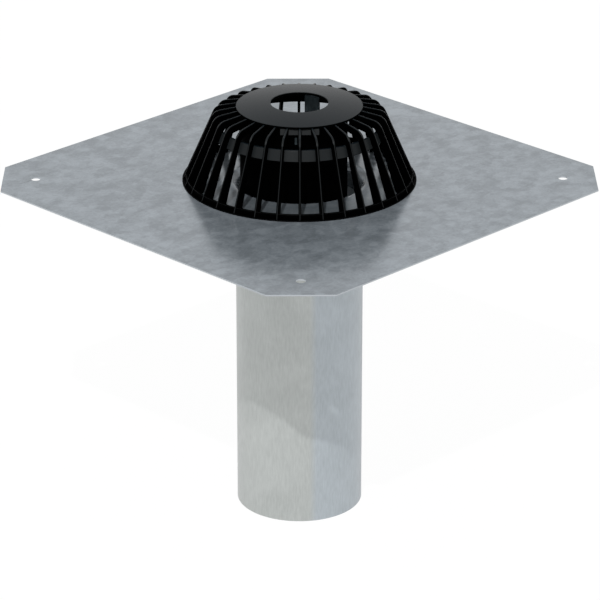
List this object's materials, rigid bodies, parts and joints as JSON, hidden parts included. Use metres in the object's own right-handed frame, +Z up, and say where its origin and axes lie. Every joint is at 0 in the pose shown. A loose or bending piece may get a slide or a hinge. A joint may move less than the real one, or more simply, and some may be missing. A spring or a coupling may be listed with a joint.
{
  "type": "flat roof drain",
  "caption": "Flat roof drain: a square clipped-corner metal flange with a drawn mouth, a straight outlet pipe below it and a finned conical leaf guard that lifts out.",
  "frame": {"origin": "centre of the flange's fixing hole pattern, on the flange's flat underside", "axes": "+Z up along the outlet pipe's axis towards the leaf guard, +X and +Y parallel to the flange's sides"},
  "size_m": [0.4, 0.4, 0.3709],
  "materials": {
    "flange_plate": "hot-dip galvanised sheet with a soft spangle",
    "outlet_pipe": "galvanised tube, lightly brushed along its length",
    "weld_bead": "galvanised weld",
    "leaf_guard": "black moulded plastic"
  },
  "bodies": {
    "root": {"flange_plate": "flange_plate", "outlet_pipe": "outlet_pipe", "weld_bead": "weld_bead", "leaf_guard": "leaf_guard"}
  },
  "joints": []
}
